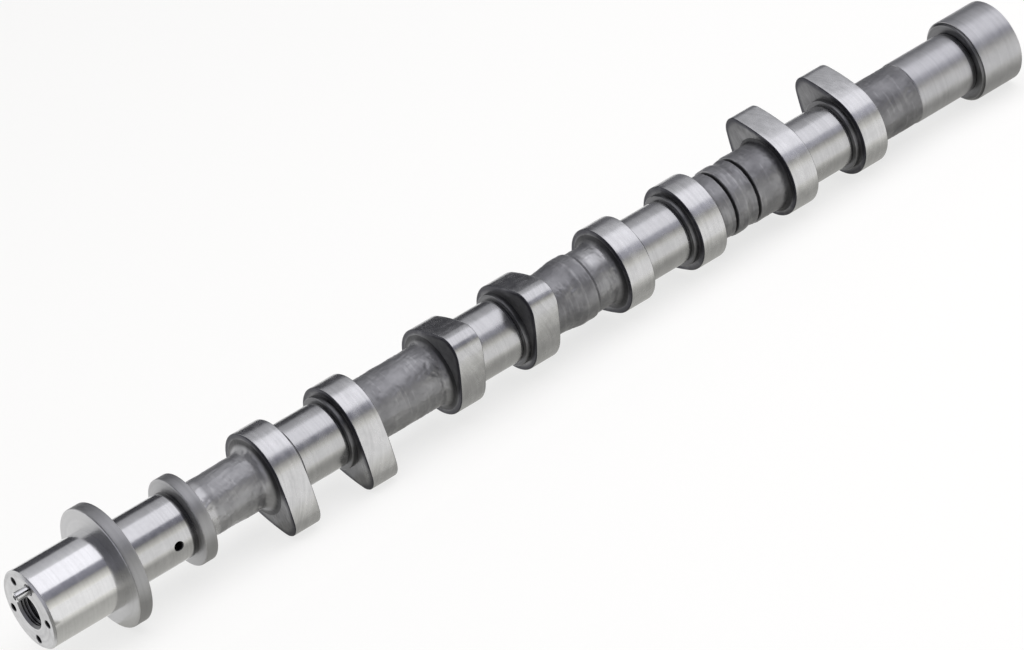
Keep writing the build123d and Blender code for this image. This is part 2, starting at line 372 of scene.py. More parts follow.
journal_ends = [(a + LOBE_W + FRONT_SHOULDER_W, b - SHOULDER_W) for a, b in pairs]
land_end = BOSS_X - 3 * BOSS_UNDERCUT
rear_land = [(REAR_LAND_X - 0.4, REAR_NECK_R - 0.4, 0), (REAR_LAND_X, REAR_LAND_R, 0.8),
             (land_end - 0.6, REAR_LAND_R, 0.15), (land_end, REAR_LAND_R - BOSS_UNDERCUT, 0.15),
             (BOSS_X + 0.1, REAR_LAND_R - BOSS_UNDERCUT, 0)]
rim_front = (BOSS_X + BOSS_EDGE * 0.8, BOSS_R - 0.3, 0)
rim_back = (SHAFT_END - BOSS_EDGE / 3, BOSS_R - 0.2, 0)
boss_rim = [rim_front, (BOSS_X + BOSS_EDGE, BOSS_R, 0.3),
            (SHAFT_END - BOSS_EDGE / 2, BOSS_R, 0.2), rim_back]
journals = carried(turned("journals", [journal_run(*ends) for ends in journal_ends]))
rear_ground = carried(turned("rear_land_and_boss", [rear_land, boss_rim], hollow=True))

# %% [markdown]
# ## Turned faces
# Shoulders, flange, collar and the faces of the boss are cut on the lathe and not ground. They
# are separate pieces, because each has a finish of its own and its worn edge needs a close ring
# of points. The rear face keeps the centre drilling that held the shaft between centres.

# %% Turned faces
DISC_AROUND, FLANGE_AROUND = 280, 320
CENTRE_R, CENTRE_PILOT_R, CENTRE_DEPTH, PLUG_DEPTH = 4.0, 1.6, 6.0, 2


def shoulder(front, rear, radius):
    """Ring beside a journal, with its faces inside the neighbours."""
    return [(front, INNER_R, 0), (front, radius, 0.35), (rear, radius, 0.35), (rear, INNER_R, 0)]


shoulders = [shoulder(a + LOBE_W - 1, a + LOBE_W + FRONT_SHOULDER_W, FRONT_SHOULDER_R)
             for a, b in pairs]
shoulders += [shoulder(b - SHOULDER_W, b + 1, SHOULDER_R) for a, b in pairs]
collar_profile = [(COLLAR_X, INNER_R, 0), (COLLAR_X, COLLAR_R, 0.5), (COLLAR_END, COLLAR_R, 0.5),
                  (COLLAR_END, INNER_R, 0)]
boss_front = [(BOSS_X, INNER_R, 0), (BOSS_X, BOSS_R - BOSS_EDGE, 0.1), rim_front]
plug_front, drilling_end = SHAFT_END - CENTRE_DEPTH - PLUG_DEPTH, SHAFT_END - CENTRE_DEPTH
boss_back = [(plug_front, POLE_R, 0), (plug_front, BOSS_R - 0.4, 0), rim_back,
             (SHAFT_END, BOSS_R - BOSS_EDGE / 2, 0.1), (SHAFT_END, CENTRE_R, 0.1),
             (SHAFT_END - (CENTRE_R - CENTRE_PILOT_R), CENTRE_PILOT_R, 0.1),
             (drilling_end, CENTRE_PILOT_R, 0.1), (drilling_end, POLE_R, 0)]
journal_shoulders = carried(turned("journal_shoulders", shoulders, hollow=True))
thrust_flange = carried(turned("thrust_flange", [flange_profile], FLANGE_AROUND, step=1.0,
                               hollow=True))
collar = carried(turned("collar", [collar_profile], DISC_AROUND, step=1.0, hollow=True))
boss_front_face = carried(turned("boss_front_face", [boss_front], DISC_AROUND, step=1.5,
                                 hollow=True))
rear_end_face = carried(turned("rear_end_face", [boss_back], DISC_AROUND, step=1.5))

# %% [markdown]
# ## The outline of a cam
# A cam's outline is a base circle, two gently curved flanks and a tight tip, all tangent. Drawn
# with arcs it needs care at each joint. Here every outline point is named by the direction of its
# outward normal instead: within each arc the point is the arc's centre plus its radius along that
# direction. Moving the outline inwards then only shortens the radius, which gives the rounded
# edges for free.

# %% Cam outline
tip_centre = LIFT_R - TIP_R
to_base, to_tip = FLANK_R - BASE_R, FLANK_R - TIP_R
flank_cosine = (tip_centre**2 + to_base**2 - to_tip**2) / (2 * tip_centre * to_base)
flank_turn = math.pi - math.acos(flank_cosine)
flank_x, flank_y = -to_base * math.cos(flank_turn), -to_base * math.sin(flank_turn)
tip_turn = math.atan2(-flank_y, tip_centre - flank_x)


def cam_point(normal, inset):
    """Outline point by its outward normal, moved in: arc centre + (radius - inset) * normal."""
    size, side = np.abs(normal), np.sign(normal)
    tip, base = size < tip_turn, size > flank_turn
    cx = np.where(tip, tip_centre, np.where(base, 0.0, flank_x))
    cy = np.where(tip | base, 0.0, side * flank_y)
    radius = np.where(tip, TIP_R, np.where(base, BASE_R, FLANK_R)) - inset
    return cx + radius * np.cos(normal), cy + radius * np.sin(normal)


def outline_normals(count):
    """Directions that divide the outline by length and turn, so the tight tip gets more points."""
    turns = np.array([-math.pi, -flank_turn, -tip_turn, tip_turn, flank_turn, math.pi])
    radii = np.array([BASE_R, FLANK_R, TIP_R, FLANK_R, BASE_R]) + 10
    measure = np.concatenate([[0], np.cumsum(radii * np.diff(turns))])
    return np.interp(np.linspace(0, measure[-1], count, endpoint=False), measure, turns)


print("flank from %.1f to %.1f degrees" % (math.degrees(tip_turn), math.degrees(flank_turn)))

# %% [markdown]
# ## Cam lobes
# A lobe is that outline with a width. Its rim is ground, its sides keep the casting's waves and
# get painted shade towards the rim. An extrusion would give flat sides, so the surface is a grid
# across the lobe instead: up one side from the hub to the rim, over the rounded edge, along the
# rim and down again. Only the middle of each side is pushed by the skin field.

# %% Lobe surface
LOBE_AROUND, SIDE_STEPS, EDGE_STEPS, RIM_STEPS = 380, 26, 5, 9


def lobe_section(width):
    """Path across a lobe: x, share of the way from hub to rim, and inset from the outline."""
    share = np.linspace(0, 1, SIDE_STEPS)
    bend = np.linspace(0, math.pi / 2, EDGE_STEPS)[1:]
    e, rim, rest = LOBE_EDGE, np.ones(RIM_STEPS - 1), np.ones(EDGE_STEPS - 1)
    x = np.concatenate([0 * share, e * (1 - np.cos(bend)),
                        np.linspace(e, width - e, RIM_STEPS)[1:],
                        width - e + e * np.sin(bend), 0 * share[:-1] + width])
    inset = np.concatenate([0 * share + e, e * (1 - np.sin(bend)), 0 * rim,
                            e * (1 - np.cos(bend)), 0 * share[:-1] + e])
    share = np.concatenate([share, rest, rim, rest, share[-2::-1]])
    return x, share, inset


def lobe(name, station, degrees, around=LOBE_AROUND):
    """One cam lobe: hub circle blended to the outline on both sides, ground rim between them."""
    x, share, inset = lobe_section(LOBE_W)
    normal = outline_normals(around)
    oy, oz = cam_point(normal[None, :], inset[:, None])
    reach = np.hypot(oy, oz)
    hub = INNER_R / reach
    mix = hub + (1 - hub) * share[:, None]
    turn = math.radians(degrees)
    y = mix * (oy * math.cos(turn) - oz * math.sin(turn))
    z = mix * (oy * math.sin(turn) + oz * math.cos(turn))
    points = np.stack([station + x[:, None] + 0 * y, y, z], -1)
    rim_gap = np.minimum(x, LOBE_W - x)[:, None] + 0 * y
    gap = np.where(share[:, None] < 1, (1 - share[:, None]) * (reach - INNER_R), rim_gap)
    facing = np.where(x < LOBE_W / 2, 1.0, -1.0)[:, None]
    calm = np.clip((gap - 1.5) / 2.0, 0, 1) * (share[:, None] < 1)
    points[..., 0] += facing * (0.05 - skin(points)) * calm * 0.5
    obj = put_mesh(name, points.reshape(-1, 3), grid_faces(len(x), around),
                   end_faces(len(x), around, hollow=True), {"edge_gap": gap.ravel()})
    ring = np.repeat(np.arange(len(x)), around)
    on_side = np.maximum(inset[ring], inset[(ring + 1) % len(x)]) > LOBE_EDGE * 0.1
    obj.data.materials.append(None)
    obj.data.materials.append(None)
    obj.data.polygons.foreach_set("material_index", on_side.astype(np.int32))
    return obj


lobes = []
for (front, rear), angle in zip(pairs, LOBE_ANGLES):
    for station in (front, rear):
        lobes.append(carried(lobe("cam_lobe_%d" % (len(lobes) + 1), station, angle)))

# %% [markdown]
# ## Drills for the nose
# The sprocket sits on the nose. The end face has a threaded bore, four small tapped holes at
# uneven spacing and the hole of the pin that sets the sprocket's angle. An oil hole enters the
# front journal from the side. Holes through curved and flat faces are what a boolean is made for,
# so this step makes the shapes that it takes away. A drill is a turned profile too, laid beside
# the axis or across the shaft.

# %% Drills
PILOT_R, PILOT_DEPTH, TAP_R, TAP_DEPTH, GALLERY_R = 7.0, 14.0, 5.1, 44.0, 2.6
SCREW_CIRCLE_R, SCREW_R, SCREW_DEPTH = 12.7, 1.65, 10.0
SCREW_ANGLES = [69.0, -11.0, -91.0, 189.0]
PIN_CIRCLE_R, PIN_ANGLE, PIN_R, PIN_DEPTH = 12.6, 117.0, 2.01, 9.0
OIL_X, OIL_R, OIL_ANGLE = 28.0, 1.9, 185.0
WHOLE_RUN = 200.0


def drill(name, corners, place, around=48):
    """Closed turned solid, with its points moved by a function."""
    line = profile(corners, WHOLE_RUN, 3)
    points = place(turned_grid(line, around).reshape(-1, 3))
    return put_mesh(name, points, grid_faces(len(line), around), end_faces(len(line), around))


def beside_axis(away, degrees):
    """Moves points off the shaft's axis, by a distance at an angle."""
    turn = math.radians(degrees)
    return lambda p: p + np.array([0, away * math.cos(turn), away * math.sin(turn)])


def across_shaft(station, degrees):
    """Turns points that lie along X so that they lie along a radius of the shaft."""
    turn = math.radians(degrees)
    out = np.array([0, math.cos(turn), math.sin(turn)])
    side = np.array([0, -math.sin(turn), math.cos(turn)])
    along, mouth = np.array([1, 0, 0]), np.array([station, 0, 0])
    return lambda p: p[:, :1] * out + p[:, 1:2] * side + p[:, 2:] * along + mouth


def blind_hole(radius, depth, mouth):
    """Profile of a drilled hole from the end face: countersink, wall and cone tip."""
    f = NOSE_FRONT
    return [(f - 2, POLE_R, 0), (f - 2, radius + mouth + 2, 0), (f + mouth, radius, 0),
            (f + depth, radius, 0), (f + depth + radius * 0.6, POLE_R, 0)]


bore_front, bore_end = NOSE_FRONT + PILOT_DEPTH, NOSE_FRONT + TAP_DEPTH
main_bore = [(NOSE_FRONT - 2, POLE_R, 0), (NOSE_FRONT - 2, PILOT_R + 3, 0),
             (NOSE_FRONT + 1, PILOT_R, 0), (bore_front, PILOT_R, 0), (bore_front + 1, TAP_R, 0),
             (bore_end, TAP_R, 0), (bore_end + 1.5, GALLERY_R, 0),
             (OIL_X + OIL_R, GALLERY_R, 0), (OIL_X + OIL_R + 1.3, POLE_R, 0)]
oil = [(GALLERY_R * 0.6, POLE_R, 0), (GALLERY_R * 0.6, OIL_R, 0), (JOURNAL_R - 0.35, OIL_R, 0.2),
       (JOURNAL_R + 1, OIL_R + 1.2, 0), (JOURNAL_R + 1, POLE_R, 0)]
screw, pin_seat = blind_hole(SCREW_R, SCREW_DEPTH, 0.25), blind_hole(PIN_R, PIN_DEPTH, 0.6)
drills = [drill("main_bore", main_bore, beside_axis(0, 0), 96)]
drills += [drill("screw_hole_%d" % k, screw, beside_axis(SCREW_CIRCLE_R, a))
           for k, a in enumerate(SCREW_ANGLES)]
drills.append(drill("pin_hole", pin_seat, beside_axis(PIN_CIRCLE_R, PIN_ANGLE)))
drills.append(drill("oil_hole", oil, across_shaft(OIL_X, OIL_ANGLE)))
print("drills", len(drills))

# %% [markdown]
# ## Nose and front journal
# The nose and the front journal are one solid bar here, because the bore and the oil hole run
# through both. The bar is turned, drilled, and cleaned of the slivers that a boolean leaves.

# %% Drilled bar
BAR_AROUND, SHARP_ANGLE = 240, 32


def take_away(obj, cutters):
    """Cuts each closed cutter out of the object for good, then removes the cutter."""
    for cutter in cutters:
        cut = obj.modifiers.new("cut", "BOOLEAN")
        cut.operation, cut.solver, cut.object = "DIFFERENCE", "EXACT", cutter
        graph = bpy.context.evaluated_depsgraph_get()
        done = bpy.data.meshes.new_from_object(obj.evaluated_get(graph))
        obj.modifiers.remove(cut)
        obj.data = done
        bpy.data.objects.remove(cutter)


def drop_slivers(obj, apart=1e-6):
    """Merges points that share one spot and dissolves the faces without area."""
    work = bmesh.new()
    work.from_mesh(obj.data)
    bmesh.ops.remove_doubles(work, verts=work.verts, dist=apart)
    bmesh.ops.dissolve_degenerate(work, edges=work.edges, dist=apart)
    work.to_mesh(obj.data)
    work.free()


bar = [(NOSE_FRONT, POLE_R, 0), (NOSE_FRONT, NOSE_R - NOSE_EDGE, 0.12),
       (NOSE_FRONT + NOSE_EDGE, NOSE_R, 0.25), (1.0, NOSE_R, 0), (3.0, JOURNAL_R, 0),
       (COLLAR_X - 3.0, JOURNAL_R, 0), (COLLAR_X - 2.4, JOURNAL_R, 0),
       (COLLAR_X - 4 * RELIEF, JOURNAL_R, 0.15), (COLLAR_X - 3 * RELIEF, RELIEF_R, 0.1),
       (COLLAR_X + 2, RELIEF_R, 0), (COLLAR_X + 2, POLE_R, 0)]
bar_line = profile(bar, 3.0, 5)
front_end = put_mesh("nose_and_front_journal", turned_grid(bar_line, BAR_AROUND).reshape(-1, 3),
                     grid_faces(len(bar_line), BAR_AROUND), end_faces(len(bar_line), BAR_AROUND))
take_away(front_end, drills)
drop_slivers(front_end)
front_end.data.shade_smooth()
front_end.data.set_sharp_from_angle(angle=math.radians(SHARP_ANGLE))
print("front end after drilling", len(front_end.data.vertices), "points")

# %% [markdown]
# ## Finishes of the bar
# The bar is ground outside, turned on its end and raw in its holes. A boolean leaves no list of
# which face came from which cut, so each face is judged by its place and by the way it looks: a
# face at the full radius that looks outwards is ground, one in the plane of the end is turned.

# %% Places of its finishes
ON_NOSE, ON_END, IN_HOLES, ON_JOURNAL = range(4)


def sort_front_faces(obj):
    """Material of each face by its place and direction: nose, end face, holes or journal."""
    mesh = obj.data
    centres, normals = np.empty(len(mesh.polygons) * 3), np.empty(len(mesh.polygons) * 3)
    mesh.polygons.foreach_get("center", centres)
    mesh.polygons.foreach_get("normal", normals)
    centres, normals = centres.reshape(-1, 3) / MM, normals.reshape(-1, 3)
    station, radius = centres[:, 0], np.hypot(centres[:, 1], centres[:, 2])
    outward = (centres[:, 1:] * normals[:, 1:]).sum(1) / np.maximum(radius, 1e-6)
    on_skin = (radius > JOURNAL_R - 0.5) & (outward > 0.9)
    flat = (station < NOSE_FRONT + 0.02) & (normals[:, 0] < -0.5)
    edge = (radius > NOSE_R - NOSE_EDGE - 0.1) & (normals[:, 0] < -0.3)
    index = np.where(on_skin, np.where(station > 0, ON_JOURNAL, ON_NOSE),
                     np.where(flat | edge, ON_END, IN_HOLES))
    for _ in range(4):
        mesh.materials.append(None)
    mesh.polygons.foreach_set("material_index", index.astype(np.int32))
    print("faces on nose, end, holes and journal", [int((index == k).sum()) for k in range(4)])


sort_front_faces(front_end)
# Painted shade: a dark band on the front journal where it meets the collar.
store(front_end, "scale_and_painted_shade", lambda x, r, t: 0.8 * within(x, COLLAR_X - 2.4, COLLAR_X + 2, 0.6))
carried(front_end)

# %% [markdown]
# ## Thread in the nose
# The sprocket's screw goes into the bore. A thread is a ridge that climbs as it goes round: the
# radius is a rounded triangle wave of the depth less the turn. Modelled like that it is one smooth
# grid, much lighter than a screw cut by a boolean. It lines the bore and is shut by a wall that
# lies in the metal.

# %% Thread
THREAD_PITCH, THREAD_DEPTH = 1.5, 0.75
RINGS_PER_TURN, INTO_WALL, WALL = 14, 0.02, 0.3


def thread(name, radius, start, end, pitch, depth, around=96):
    """Inner thread: r = radius - depth * rounded wave of (x / pitch - turn), fading at its ends."""
    x = np.linspace(start, end, int((end - start) / pitch * RINGS_PER_TURN))[:, None]
    t = np.linspace(0, 2 * np.pi, around, endpoint=False)[None, :]
    wave = 0.5 + 0.5 * np.sin(2 * np.pi * x / pitch - t)
    fade = np.clip((x - start) / pitch, 0, 1) * np.clip((end - x) / pitch, 0, 1)
    r = radius + INTO_WALL - depth * fade * np.clip(1.35 * wave - 0.15, 0, 1)
    x, r = np.vstack([x[:1], x, x[-1:]]), np.vstack([r[:1] + WALL, r, r[-1:] + WALL])
    points = np.stack([x + 0 * t, r * np.cos(t), r * np.sin(t)], -1)[:, ::-1].reshape(-1, 3)
    ends = end_faces(len(x), around, hollow=True)
    return put_mesh(name, points, grid_faces(len(x), around), ends)


nose_thread = carried(thread("nose_thread", PILOT_R, NOSE_FRONT + 1.6, bore_front, THREAD_PITCH,
                             THREAD_DEPTH))

# %% [markdown]
# ## Node helpers
# A material is a small network. These helpers make one node, set its values and link what is
# given as a socket, so that a whole recipe reads from top to bottom.

# %% Node helpers
def node(tree, kind, inputs=None, **settings):
    """New node with its settings; inputs are values, or sockets to link."""
    made = tree.nodes.new(kind)
    for key, value in settings.items():
        setattr(made, key, value)
    for key, value in (inputs or {}).items():
        if isinstance(value, bpy.types.NodeSocket):
            tree.links.new(value, made.inputs[key])
        else:
            made.inputs[key].default_value = value
    return made


def reckon(tree, operation, *terms, clamp=False):
    """Result of a Math node on numbers or sockets."""
    given = dict(enumerate(terms))
    made = node(tree, "ShaderNodeMath", given, operation=operation, use_clamp=clamp)
    return made.outputs[0]


def noise(tree, place, scale, detail):
    """Smooth noise of a place, with a number of waves per metre."""
    values = {"Vector": place, "Scale": scale, "Detail": detail}
    return node(tree, "ShaderNodeTexNoise", values).outputs[0]


def object_place(tree):
    """Point on the object as one vector."""
    return node(tree, "ShaderNodeTexCoord").outputs["Object"]


def split(tree, place):
    """Parts of a vector along X, Y and Z."""
    return node(tree, "ShaderNodeSeparateXYZ", {0: place}).outputs


def stored(tree, key):
    """Value that was stored on the points of the mesh."""
    return node(tree, "ShaderNodeAttribute", attribute_name=key).outputs["Fac"]


def group(name, inputs, outputs):
    """Empty node group with named inputs (name, default) and output names."""
    tree = bpy.data.node_groups.new(name, "ShaderNodeTree")
    for key, default in inputs:
        socket = tree.interface.new_socket(key, in_out="INPUT", socket_type="NodeSocketFloat")
        socket.default_value = default
    for key in outputs:
        tree.interface.new_socket(key, in_out="OUTPUT", socket_type="NodeSocketFloat")
    return tree, node(tree, "NodeGroupInput").outputs, node(tree, "NodeGroupOutput").inputs


print("node groups so far", len(bpy.data.node_groups))

# %% [markdown]
# ## Tool lines and mottling
# Two effects turn up on nearly every finish. Tool lines are the rings that a grinding wheel or a
# lathe leaves: noise that changes fast with the station plus the radius, so that it makes rings on
# cylinders and on flat faces alike, and slowly around the shaft. Mottling is the uneven tone of
# iron, as large patches and fine grain. Each is a node group, built once and used with other
# numbers in each material.

# %% Lines and patches
def tool_lines():
    """Noise of (x + radius) * lines, y * waver and z * waver."""
    tree, given, result = group("tool lines", [("Lines per metre", 900.0), ("Waver", 60.0)],
                                ["Tone", "Height"])
    place = object_place(tree)
    part = split(tree, place)
    off_axis = node(tree, "ShaderNodeVectorMath", {0: place, 1: (0, 1, 1)}, operation="MULTIPLY")
    radius = node(tree, "ShaderNodeVectorMath", {0: off_axis.outputs[0]}, operation="LENGTH")
    along = reckon(tree, "ADD", part[0], radius.outputs["Value"])
    fast = reckon(tree, "MULTIPLY", along, given[0])
    slow = [reckon(tree, "MULTIPLY", part[k], given[1]) for k in (1, 2)]
    joined = node(tree, "ShaderNodeCombineXYZ", {0: fast, 1: slow[0], 2: slow[1]}).outputs[0]
    lines = noise(tree, joined, 1.0, 3.0)
    tree.links.new(lines, result["Tone"])
    tree.links.new(lines, result["Height"])
    return tree


def mottling():
    """Two noises of the place, one coarse and one fine."""
    tree, given, result = group("mottling", [("Patch scale", 260.0), ("Grain scale", 1500.0)],
                                ["Patches", "Grain"])
    place = object_place(tree)
    tree.links.new(noise(tree, place, given[0], 3.0), result["Patches"])
    tree.links.new(noise(tree, place, given[1], 2.0), result["Grain"])
    return tree


lines_tree, mottle_tree = tool_lines(), mottling()
print("groups", lines_tree.name, "and", mottle_tree.name)

# %% [markdown]
# ## Worn edges and scuffs
# Edges are rubbed brighter than faces. The mask compares the distance stored on the points with a
# width that noise breaks up, so the edge wears unevenly, as a real one does. The same mask also
# places the painted shade on the cams' sides. Scuffs are short broken lines of bare metal around
# the shaft: stretched noise, kept only in patches.

# %% Edges and scuffs
def worn_edge_and_shade():
    """Mask 1.5 - gap / (noise * width), so it fades out at one and a half uneven widths."""
    tree, given, result = group("worn edge and shade", [("Width", 0.5), ("Breakup", 400.0)], ["Mask"])
    place = object_place(tree)
    reach = reckon(tree, "MULTIPLY", noise(tree, place, given[1], 3.0), given[0])
    ratio = reckon(tree, "DIVIDE", stored(tree, "edge_gap"), reach)
    tree.links.new(reckon(tree, "SUBTRACT", 1.5, ratio, clamp=True), result["Mask"])
    return tree


def scuffs():
    """Noise of x * lines, y * breaks and z * breaks, times patches, sharpened to thin marks."""
    numbers = [("Lines per metre", 700.0), ("Breaks per metre", 90.0), ("Amount", 0.5)]
    tree, given, result = group("scuffs", numbers, ["Mask"])
    place = object_place(tree)
    part = split(tree, place)
    scaled = {k: reckon(tree, "MULTIPLY", part[k], given[k > 0]) for k in range(3)}
    joined = node(tree, "ShaderNodeCombineXYZ", scaled).outputs[0]
    both = reckon(tree, "MULTIPLY", noise(tree, joined, 1.0, 2.0), noise(tree, place, 120.0, 2.0))
    sharp = node(tree, "ShaderNodeMapRange", {"Value": both, "From Min": 0.29, "From Max": 0.38})
    tree.links.new(reckon(tree, "MULTIPLY", sharp.outputs[0], given[2]), result["Mask"])
    return tree


wear_and_shade_tree, scuff_tree = worn_edge_and_shade(), scuffs()
print("groups", [g.name for g in bpy.data.node_groups])

# %% [markdown]
# ## Parts of a finish
# Each material below is mixed from the same few moves: place a shared effect, let a value run
# between two limits, tint between two colours, lay a plain colour over a mask, and raise a bump.

# %% Finish helpers
def material(name, base, metallic, roughness):
    """New material and its Principled shader with plain values."""
    mat = bpy.data.materials.new(name)
    mat.use_nodes = True
    shader = mat.node_tree.nodes["Principled BSDF"]
    shader.inputs["Base Color"].default_value = (*base, 1)
    shader.inputs["Metallic"].default_value = metallic
    shader.inputs["Roughness"].default_value = roughness
    return mat, mat.node_tree, shader


def use(tree, effect, **values):
    """Places a shared effect in a material, with its own values."""
    made = node(tree, "ShaderNodeGroup", node_tree=effect)
    for key, value in values.items():
        made.inputs[key.replace("_", " ")].default_value = value
    return made


def between(tree, factor, low, high):
    """Value that runs from low to high as the factor goes from 0.3 to 0.7."""
    limits = {"Value": factor, "From Min": 0.3, "From Max": 0.7, "To Min": low, "To Max": high}
    return node(tree, "ShaderNodeMapRange", limits).outputs[0]


def tint(tree, factor, first, second):
    """Colour between two by a factor."""
    mixed = node(tree, "ShaderNodeMix", {"Factor": factor}, data_type="RGBA")
    mixed.inputs[6].default_value, mixed.inputs[7].default_value = (*first, 1), (*second, 1)
    return mixed.outputs[2]


def over(tree, mask, colour, top):
    """Colour covered by a plain one where a mask is one."""
    mixed = node(tree, "ShaderNodeMix", {"Factor": mask}, data_type="RGBA")
    tree.links.new(colour, mixed.inputs[6])
    mixed.inputs[7].default_value = (*top, 1)
    return mixed.outputs[2]


def bump(tree, shader, height, distance, strength=1.0):
    """Bump of a height in metres."""
    values = {"Height": height, "Distance": distance, "Strength": strength}
    tree.links.new(node(tree, "ShaderNodeBump", values).outputs[0], shader.inputs["Normal"])


def grey(level, cool=0.005):
    """Nearly neutral colour."""
    return (level, level, level + cool)


# Dark grey is the painted shade on the cams' sides near the rim.
# Near black is the painted shade in grooves and fillets, and the darker scale.
SHADE_AND_SCALE_COLOUR, RIM_SHADE_COLOUR, BARE_COLOUR = (0.02, 0.02, 0.022), (0.045, 0.045, 0.055), grey(0.62)
print("bare metal is", BARE_COLOUR)

# %% [markdown]
# ## Ground and turned metal
# The nose, the journals and the rear land are ground, so they mirror the room in long crisp bands.
# The wheel's marks run around the shaft. One recipe serves every bare surface: tone and roughness
# vary with the tool's lines and with patches in the iron, and edges are a little brighter where
# they were broken by hand. Numbers make it a fine ground nose or a dull turned shoulder: the dark
# and the light tone, the lowest and highest roughness, the tool's lines per metre, and their depth
# in metres.

# %% Bare metal
def bright_metal(name, dark, light, low, high, lines, depth, waver=25.0, worn=0.0, with_painted_shade=False):
    """Bare iron finished by a tool: colour and roughness vary with tool lines and patches."""
    mat, tree, shader = material(name, light, 1.0, low)
    marks = use(tree, lines_tree, Lines_per_metre=lines, Waver=waver)
    patches = use(tree, mottle_tree).outputs["Patches"]
    both = reckon(tree, "ADD", marks.outputs["Tone"], patches)
    half = reckon(tree, "MULTIPLY", both, 0.5)
    colour = tint(tree, between(tree, half, 0, 1), dark, light)
    if worn:
        edge = use(tree, wear_and_shade_tree, Width=worn, Breakup=500.0).outputs[0]
        colour = over(tree, edge, colour, [min(0.9, c * 1.35) for c in light])
    # Painted shade from the stored values, laid on as near black.
    if with_painted_shade:
        colour = over(tree, stored(tree, "scale_and_painted_shade"), colour, SHADE_AND_SCALE_COLOUR)
    tree.links.new(colour, shader.inputs["Base Color"])
    tree.links.new(between(tree, patches, low, high), shader.inputs["Roughness"])
    bump(tree, shader, marks.outputs["Height"], depth)
    return mat


ground = bright_metal("ground nose", grey(0.70), grey(0.80), 0.13, 0.19, 1400.0, 6e-7)
front_journal = bright_metal("ground front journal", grey(0.52), grey(0.62), 0.15, 0.22, 1200.0,
                             8e-7, with_painted_shade=True)
fine_ground = bright_metal("fine ground journal", grey(0.48), grey(0.59), 0.21, 0.29, 1100.0,
                           1.5e-6)
satin_ground = bright_metal("satin ground iron", grey(0.42, 0.012), grey(0.53, 0.012), 0.30, 0.38,
                            900.0, 2e-6)
cam_track = bright_metal("ground cam track", grey(0.52), grey(0.69), 0.20, 0.30, 900.0, 2.5e-6,
                         waver=60.0)
# The same ground track in a darker colour, for lobes 3 and 4.
darker_track = bright_metal("darker ground cam track", grey(0.45), grey(0.60), 0.20, 0.30, 900.0,
                          2.5e-6, waver=60.0)
thrust_face = bright_metal("ground thrust face", grey(0.52), grey(0.60), 0.33, 0.39, 900.0,
                           1.5e-6, worn=0.4)
turned_steel = bright_metal("turned iron", grey(0.34), grey(0.42), 0.40, 0.50, 1300.0, 4e-6,
                            worn=0.4)
collar_face = bright_metal("turned collar face", grey(0.46), grey(0.56), 0.46, 0.54, 1300.0, 3e-6,
                           worn=0.3)
# A darker copy of turned iron: painted shade for the shoulders and the boss's front face, which sit
# in steps.
shaded_turned = bright_metal("turned iron with painted shade", grey(0.11), grey(0.18), 0.28, 0.38, 1300.0, 4e-6,
                           worn=0.35)
end_face = bright_metal("turned end face", grey(0.45), grey(0.70), 0.28, 0.38, 700.0, 4e-6)
rear_turned = bright_metal("turned rear end", grey(0.36), grey(0.54), 0.30, 0.42, 800.0, 5e-6,
                           worn=0.4)
bore_metal = bright_metal("drilled iron", grey(0.14), grey(0.28), 0.35, 0.50, 2200.0, 1e-5)
pin_steel = bright_metal("spring steel", grey(0.64), grey(0.80), 0.22, 0.32, 1200.0, 2e-6)
print("from the finest,", ground.name + ", to the dullest,", collar_face.name)

# %% [markdown]
# ## Cast iron
# The skin of the casting is grey, mottled and only half matt, because blasting has polished the
# scale. Scuffs of bare metal run around the shaft, edges are rubbed bright, and the bare places,
# the painted highlight, the painted shade and the darker scale come from the values stored on the
# points. The cams' sides get painted shade towards the rim.

# %% Cast skin
def cast_iron(name, tones, low, high, amount, rim_shade=0.0):
    """Mottled iron with scuffs and worn edges; with a rim shade width, painted shade near the rim.
    """
    mat, tree, shader = material(name, (0.2, 0.2, 0.2), 0.8, 0.5)
    mottle = use(tree, mottle_tree, Patch_scale=110.0, Grain_scale=1100.0)
    colour = tint(tree, between(tree, mottle.outputs["Patches"], 0, 1), *tones)
    marks = use(tree, scuff_tree, Amount=amount).outputs[0]
    # Painted shade on the cams' sides, darkest at the rim.
    if rim_shade:
        rim_shade_mask = use(tree, wear_and_shade_tree, Width=rim_shade, Breakup=90.0)
        colour = over(tree, rim_shade_mask.outputs[0], colour, RIM_SHADE_COLOUR)
    else:
        edge = use(tree, wear_and_shade_tree, Width=0.9, Breakup=300.0).outputs[0]
        marks = reckon(tree, "ADD", marks, reckon(tree, "MULTIPLY", edge, 0.10), clamp=True)
        # Stored bare places, among them a painted highlight on top of the belly section.
        marks = reckon(tree, "ADD", marks, stored(tree, "bare_and_highlight"), clamp=True)
    colour = over(tree, marks, colour, BARE_COLOUR)
    # Painted shade in grooves and fillets, and the darker scale, from the stored values.
    colour = over(tree, stored(tree, "scale_and_painted_shade"), colour, SHADE_AND_SCALE_COLOUR)
    tree.links.new(colour, shader.inputs["Base Color"])
    matt = between(tree, mottle.outputs["Patches"], high, low)
    polish = reckon(tree, "MULTIPLY_ADD", marks, -0.22, matt)
    tree.links.new(polish, shader.inputs["Roughness"])
    sandy = reckon(tree, "SUBTRACT", 1.0, marks, clamp=True)
    sand = reckon(tree, "MULTIPLY", mottle.outputs["Grain"], sandy)
    bump(tree, shader, sand, 6e-5, 0.7)
    return mat


cast_skin = cast_iron("cast skin", [grey(0.175, 0.008), grey(0.285, 0.008)], 0.37, 0.48, 0.15)
cam_side = cast_iron("cam side with painted rim shade", [grey(0.13), grey(0.21)], 0.28, 0.38, 0.10, rim_shade=3.2)
print("cast finishes", cast_skin.name, "and", cam_side.name)

